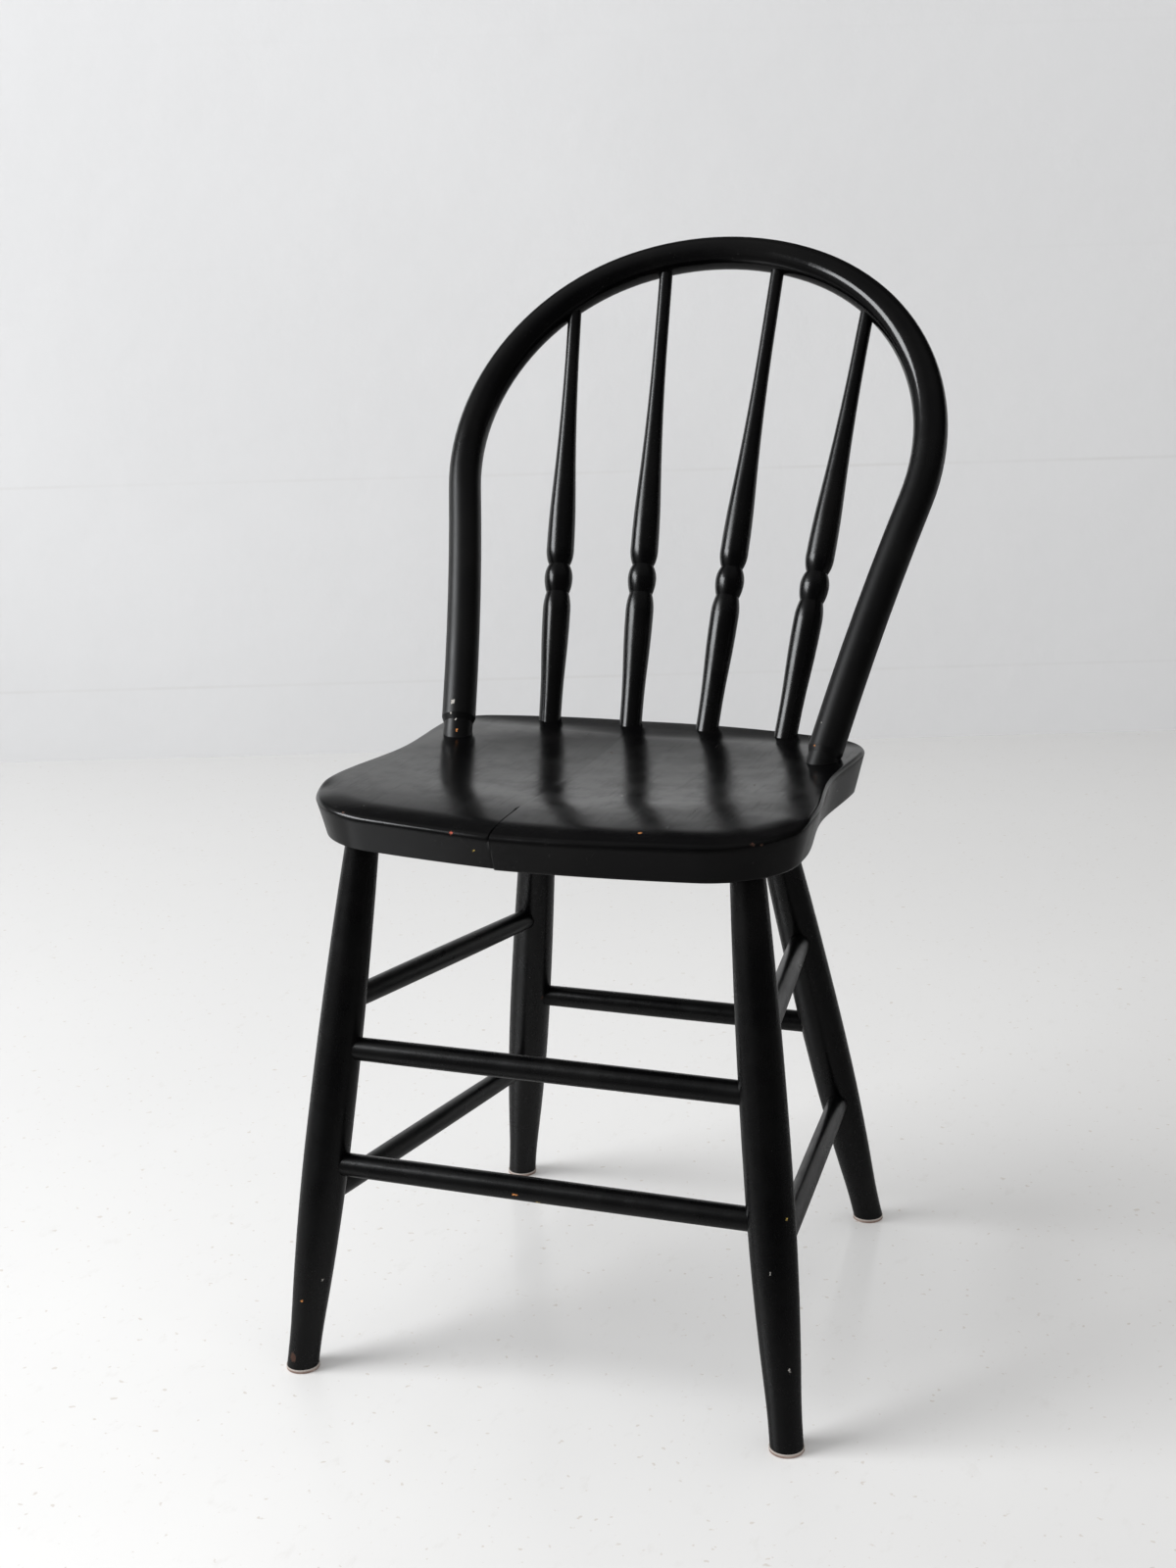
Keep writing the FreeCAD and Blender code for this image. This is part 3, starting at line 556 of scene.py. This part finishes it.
def paint(name, pieces, grain, smooth, worn, relief, polish=0.0, lean=0.0):
    """Satin black paint for some pieces, with the marks that were found on them.

    Its roughness lies between smooth and worn, less the polish higher up. The relief is the
    height of the brushed lines, and the lean how far the shading rises at the back.
    """
    material, nodes = new_material(name)
    place = nodes.place()
    _, along, up = nodes.parts(place)
    clouds = nodes.noise(place, 11.0, 4.0, 0.6)
    smudges = nodes.noise(place, 38.0, 5.0, 0.62)
    lines = nodes.noise(nodes.scaled(place, grain), 1.0, 4.0, 0.6)
    peel = nodes.noise(place, 330.0, 2.0, 0.5)
    grit = nodes.noise(place, 620.0, 2.0, 0.6)

    colour = nodes.mix(nodes.ramp(clouds, 0.42, 0.72), BLACK, RUBBED)
    specks = nodes.times(nodes.ramp(grit, 0.68, 0.76), nodes.ramp(smudges, 0.48, 0.6))
    colour = nodes.mix(specks, colour, DUST)
    roughness = nodes.ramp(smudges, 0.34, 0.70, smooth, worn)
    roughness = nodes.math("ADD", roughness, nodes.ramp(lines, 0.5, 0.75, 0.0, 0.05))
    polished = nodes.ramp(up, POLISH_START, POLISH_END, 0.0, polish)
    roughness = nodes.math("SUBTRACT", roughness, polished)
    height = nodes.math("ADD", nodes.times(lines, 0.6), nodes.times(peel, 0.4))

    wobble = nodes.noise(place, 900.0, 2.0, 0.5, "Color")
    wobble = nodes.vector("SUBTRACT", wobble, (0.5, 0.5, 0.5))
    ragged = nodes.vector("ADD", place, nodes.vector("MULTIPLY", wobble, CHIP_WANDER))
    for piece in pieces:
        for mark_place, mark_size, stretch, mark_colour in marks_on.get(piece, []):
            from_mark = nodes.vector("SUBTRACT", ragged, mark_place)
            reach = nodes.length(nodes.vector("MULTIPLY", from_mark, stretch))
            chipped = nodes.ramp(reach, mark_size * CHIP_OUTSIDE, mark_size * CHIP_INSIDE)
            colour = nodes.mix(chipped, colour, mark_colour)
            roughness = nodes.math("ADD", roughness, nodes.times(chipped, CHIP_ROUGHNESS))
            height = nodes.math("SUBTRACT", height, nodes.times(chipped, CHIP_DEPTH))

    nodes.set("Base Color", colour)
    nodes.set("Roughness", roughness)
    nodes.set("IOR", PAINT_IOR)
    leaning = nodes.bump(nodes.ramp(along, LEAN_START, LEAN_END, 0.0, lean), 1.0) if lean else None
    nodes.set("Normal", nodes.bump(height, relief, leaning))
    return material


FELT = (0.40, 0.31, 0.27, 1)
SOILED_FELT = (0.24, 0.16, 0.13, 1)
CLEAN_FELT = (0.52, 0.47, 0.43, 1)
SOILED_TO = 0.0014
CLEAN_FROM = 0.0026


def pad_felt():
    """Pale felt, soiled near the floor."""
    material, nodes = new_material("pad_felt")
    place = nodes.place()
    _, _, up = nodes.parts(place)
    fibres = nodes.noise(place, 900.0, 3.0, 0.7)
    stains = nodes.noise(place, 90.0, 3.0, 0.5)
    soiled = nodes.mix(nodes.ramp(stains, 0.35, 0.7), FELT, SOILED_FELT)
    nodes.set("Base Color", nodes.mix(nodes.ramp(up, SOILED_TO, CLEAN_FROM), soiled, CLEAN_FELT))
    nodes.set("Roughness", 0.9)
    nodes.set("Normal", nodes.bump(fibres, 0.0003))
    return material


SIDES = ("left", "right")
GROUPS = {
    "seat": {
        "pieces": ["seat_left", "seat_right"],
        "grain": ALONG,
        "smooth": 0.17,
        "worn": 0.24,
        "relief": 0.00004,
        "lean": 0.007,
    },
    "bow": {
        "pieces": ["bow"],
        "grain": UPRIGHT,
        "smooth": 0.38,
        "worn": 0.43,
        "relief": 0.00004,
        "polish": 0.27,
    },
    "spindles": {
        "pieces": [f"spindle_{kind}_{side}" for kind in ("inner", "outer") for side in SIDES],
        "grain": UPRIGHT,
        "smooth": 0.22,
        "worn": 0.29,
        "relief": 0.00002,
    },
    "legs": {
        "pieces": [f"leg_{end}_{side}" for end in ("front", "rear") for side in SIDES],
        "grain": UPRIGHT,
        "smooth": 0.24,
        "worn": 0.34,
        "relief": 0.00004,
    },
    "cross_stretchers": {
        "pieces": ["stretcher_front_lower", "stretcher_front_upper", "stretcher_back"],
        "grain": ACROSS,
        "smooth": 0.24,
        "worn": 0.33,
        "relief": 0.00003,
    },
    "side_stretchers": {
        "pieces": [f"stretcher_{side}_{tier}" for side in SIDES for tier in ("lower", "upper")],
        "grain": ALONG,
        "smooth": 0.27,
        "worn": 0.34,
        "relief": 0.000012,
    },
}

materials = {}
for group_name, finish in GROUPS.items():
    group_paint = paint("paint_" + group_name, **finish)
    for piece_name in finish["pieces"]:
        materials[piece_name] = group_paint
pad_material = pad_felt()
for node_name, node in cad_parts.items():
    node.data.materials.clear()
    node.data.materials.append(materials.get(node_name, pad_material))
for board in seat_boards:
    board.data.materials.append(materials[board.name])


# Room: a painted floor, and a boarded wall that faces the camera. The chair mirrors both darker
# than the camera sees them, as in the photograph.

WALL_MIDDLE = Vector((-0.685, 1.727, 0))
WALL_HEIGHT = 1.55
ROOM_REACH = 6.0
BOARD_HEIGHT = 0.34
BASE_HEIGHT = 0.12

# The near, far, front right and left floor colours paint the window's light and shade onto the
# floor.
FLOOR_NEAR_PAINTED_LIGHT = (0.905, 0.897, 0.885, 1)
FLOOR_FAR_PAINTED_SHADE = (0.735, 0.728, 0.718, 1)
FLOOR_FRONT_RIGHT_SHADE = (0.765, 0.757, 0.748, 1)
FLOOR_LEFT_SHADE = (0.700, 0.695, 0.688, 1)
FLOOR_DULL = (0.71, 0.705, 0.70, 1)
FLOOR_SCUFFED = (0.58, 0.55, 0.51, 1)
FLOOR_GRIME = (0.50, 0.42, 0.34, 1)
FLOOR_MIRRORED = (0.02, 0.02, 0.02, 1)
FLOOR_IOR = 1.45

WALL = (0.73, 0.73, 0.735, 1)
WALL_PATCHES = (0.70, 0.70, 0.705, 1)
# The right and upper left wall colours paint light and shade onto the wall.
WALL_RIGHT_PAINTED_LIGHT = (0.775, 0.775, 0.78, 1)
WALL_UPPER_LEFT_SHADE = (0.665, 0.665, 0.67, 1)
WALL_JOINTS = (0.62, 0.61, 0.60, 1)
WALL_MIRRORED_LOW = (0.60, 0.60, 0.60, 1)
WALL_MIRRORED_HIGH = (0.13, 0.13, 0.13, 1)


def slab(name, corners, material):
    mesh = bpy.data.meshes.new(name)
    mesh.from_pydata(corners, [], [(0, 1, 2, 3)])
    mesh.materials.append(material)
    thing = bpy.data.objects.new(name, mesh)
    scene.collection.objects.link(thing)


def floor_paint():
    material, nodes = new_material("floor_paint")
    place = nodes.place()
    across, along, _ = nodes.parts(place)
    patches = nodes.noise(place, 1.4, 4.0, 0.55)
    scuffs = nodes.noise(nodes.scaled(place, (1.0, 0.5, 1.0)), 60.0, 4.0, 0.65)
    grime = nodes.noise(place, 130.0, 2.0, 0.5)

    # Painted light and shade: the floor is paler towards the camera and darker towards the wall.
    colour = nodes.mix(nodes.ramp(along, -1.0, 1.3), FLOOR_NEAR_PAINTED_LIGHT, FLOOR_FAR_PAINTED_SHADE)
    # Painted shade: the floor is darker towards the front right, away from the window.
    front_right_shade = nodes.ramp(nodes.math("SUBTRACT", across, along), 0.15, 0.95)
    colour = nodes.mix(front_right_shade, colour, FLOOR_FRONT_RIGHT_SHADE)
    # Painted shade: the floor is darker on the left, where the window light is strongest.
    colour = nodes.mix(nodes.ramp(across, -0.1, -0.7, 0.0, 0.55), colour, FLOOR_LEFT_SHADE)
    colour = nodes.mix(nodes.ramp(patches, 0.35, 0.8, 0.0, 0.35), colour, FLOOR_DULL)
    colour = nodes.mix(nodes.ramp(scuffs, 0.58, 0.74, 0.0, 0.14), colour, FLOOR_SCUFFED)
    colour = nodes.mix(nodes.ramp(grime, 0.67, 0.74, 0.0, 0.4), colour, FLOOR_GRIME)
    to_back = nodes.ramp(along, -0.95, -0.2, 0.06, 0.33)
    share = nodes.times(to_back, nodes.ramp(across, 0.0, 0.6, 1.0, 0.4))
    shade = nodes.mix(share, FLOOR_MIRRORED, colour)
    nodes.set("Base Color", nodes.mix(nodes.mirrored(), colour, shade))

    nodes.set("Roughness", nodes.ramp(patches, 0.3, 0.7, 0.16, 0.22))
    nodes.set("IOR", FLOOR_IOR)
    ripple = nodes.math("ADD", nodes.noise(place, 7.0, 1.0, 0.5), nodes.times(scuffs, 0.1))
    nodes.set("Normal", nodes.bump(ripple, 0.0004))
    return material


def wall_paint():
    """Boards with faint joints. From behind the wall is clear, for views of the chair's back."""
    material, nodes = new_material("wall_paint")
    place = nodes.place()
    across, _, up = nodes.parts(place)
    patches = nodes.noise(place, 1.6, 5.0, 0.6)
    breaks = nodes.ramp(nodes.noise(place, 2.2, 3.0, 0.6), 0.35, 0.65, 0.1, 0.4)

    colour = nodes.mix(nodes.ramp(patches, 0.3, 0.75), WALL, WALL_PATCHES)
    # Painted light: the wall is paler towards the right, away from the window.
    colour = nodes.mix(nodes.ramp(across, -0.6, 0.2, 0.0, 0.7), colour, WALL_RIGHT_PAINTED_LIGHT)
    # Painted shade: the wall is darker high on the left, close to the window.
    upper_left_shade = nodes.times(nodes.ramp(up, 0.3, 1.1), nodes.ramp(across, -0.7, -1.7))
    colour = nodes.mix(upper_left_shade, colour, WALL_UPPER_LEFT_SHADE)
    board = nodes.math("DIVIDE", nodes.math("SUBTRACT", up, BASE_HEIGHT), BOARD_HEIGHT)
    from_middle = nodes.math("ABSOLUTE", nodes.math("SUBTRACT", nodes.math("FRACT", board), 0.5))
    joint = nodes.times(nodes.ramp(from_middle, 0.488, 0.499), breaks)
    joint = nodes.times(joint, nodes.ramp(up, 0.5, 0.7, 1.0, 0.15))
    colour = nodes.mix(joint, colour, WALL_JOINTS)
    shade = nodes.mix(nodes.ramp(up, 1.04, 1.36), WALL_MIRRORED_LOW, WALL_MIRRORED_HIGH)
    nodes.set("Base Color", nodes.mix(nodes.mirrored(), colour, shade))

    nodes.set("Roughness", 0.6)
    nodes.set("Normal", nodes.bump(nodes.noise(place, 14.0, 4.0, 0.6), 0.0015))
    clear = nodes.add("ShaderNodeBsdfTransparent").outputs[0]
    from_behind = nodes.add("ShaderNodeNewGeometry").outputs["Backfacing"]
    sides = {0: from_behind, 1: nodes.shader.outputs[0], 2: clear}
    shown = nodes.add("ShaderNodeMixShader", sides)
    output = material.node_tree.nodes["Material Output"]
    nodes.give(output.inputs["Surface"], shown.outputs[0])
    return material


wall_left = WALL_MIDDLE - level_right * ROOM_REACH
wall_right = WALL_MIDDLE + level_right * ROOM_REACH
rise = Vector((0, 0, WALL_HEIGHT))
forward = Vector((level_right.y, -level_right.x, 0)) * 2 * ROOM_REACH
slab("wall", [wall_left, wall_right, wall_right + rise, wall_left + rise], wall_paint())
slab("floor", [wall_left + forward, wall_right + forward, wall_right, wall_left], floor_paint())


# Light: a wide window at the front left, a soft lamp above that nothing mirrors, and a room that
# glows a little overhead and on the left in reflections


def lamp(name, place, facing, width, height, power, colour, mirrored=True):
    data = bpy.data.lights.new(name, "AREA")
    data.shape = "RECTANGLE"
    data.size = width
    data.size_y = height
    data.energy = power
    data.color = colour
    thing = bpy.data.objects.new(name, data)
    thing.location = place
    thing.rotation_euler = Vector(facing).to_track_quat("-Z", "Y").to_euler()
    thing.visible_camera = False
    thing.visible_glossy = mirrored
    scene.collection.objects.link(thing)


lamp(
    "window_light",
    place=(-3.03, -1.90, 2.5),
    facing=(0.81, 0.51, -0.25),
    width=2.6,
    height=1.35,
    power=119,
    colour=(0.96, 0.98, 1.0),
)
lamp(
    "upper_light",
    place=(-1.75, -1.0, 2.6),
    facing=(1.75, 1.0, -2.4),
    width=1.0,
    height=1.0,
    power=23,
    colour=(1.0, 1.0, 1.0),
    mirrored=False,
)

ROOM_SEEN = (0.80, 0.80, 0.805, 1)
ROOM_FILL = (0.70, 0.70, 0.70, 1)
GLOW = 0.03
OVERHEAD_GLOW = 0.09
LEFT_GLOW = 0.20
BACK_SHARE = 0.35

world = bpy.data.worlds.new("room")
world.use_nodes = True
room = Nodes(world.node_tree, "Background")
to_right, to_back, upward = room.parts(room.add("ShaderNodeTexCoord").outputs["Generated"])
overhead = room.ramp(upward, 0.35, 0.95, 0.0, OVERHEAD_GLOW)
left_side = room.ramp(to_right, 0.1, -0.9, 0.0, LEFT_GLOW)
glow = room.math("ADD", GLOW, room.math("ADD", overhead, left_side))
glow = room.times(glow, room.ramp(to_back, 0.1, 0.6, 1.0, BACK_SHARE))
unseen = room.mix(room.mirrored(), ROOM_FILL, glow)
room.set("Color", room.mix(room.seen_directly(), unseen, ROOM_SEEN))
scene.world = world
scene.view_settings.view_transform = "Standard"
